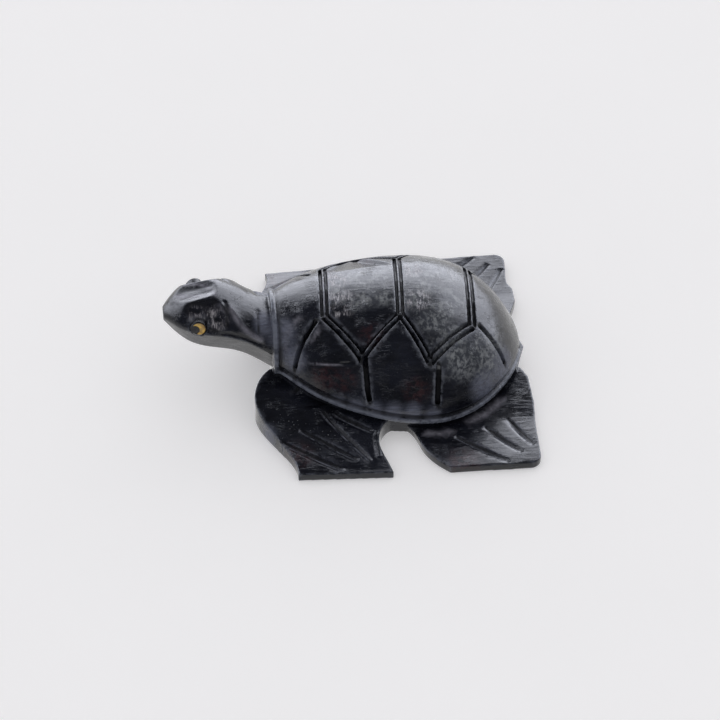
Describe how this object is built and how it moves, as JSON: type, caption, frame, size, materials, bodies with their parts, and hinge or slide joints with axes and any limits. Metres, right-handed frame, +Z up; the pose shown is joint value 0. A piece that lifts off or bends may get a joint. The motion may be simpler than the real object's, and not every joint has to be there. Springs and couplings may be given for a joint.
{
  "type": "turtle figurine",
  "caption": "Carved stone sea turtle with a domed, grooved shell, raised head, spread flippers and inlaid eyes.",
  "frame": {"origin": "on the flat underside, midway along the length and across the width", "axes": "+X towards the tail, -X towards the nose, -Y towards the turtle's left, +Z up"},
  "size_m": [0.0501, 0.0435, 0.0171],
  "materials": {
    "stone": "gloss",
    "eye_yellow": "gloss",
    "pupil_black": "gloss"
  },
  "bodies": {
    "root": {"carved_stone_body": "stone", "left_eye_inlay": "eye_yellow", "left_eye_pupil": "pupil_black", "right_eye_inlay": "eye_yellow", "right_eye_pupil": "pupil_black"}
  },
  "joints": []
}
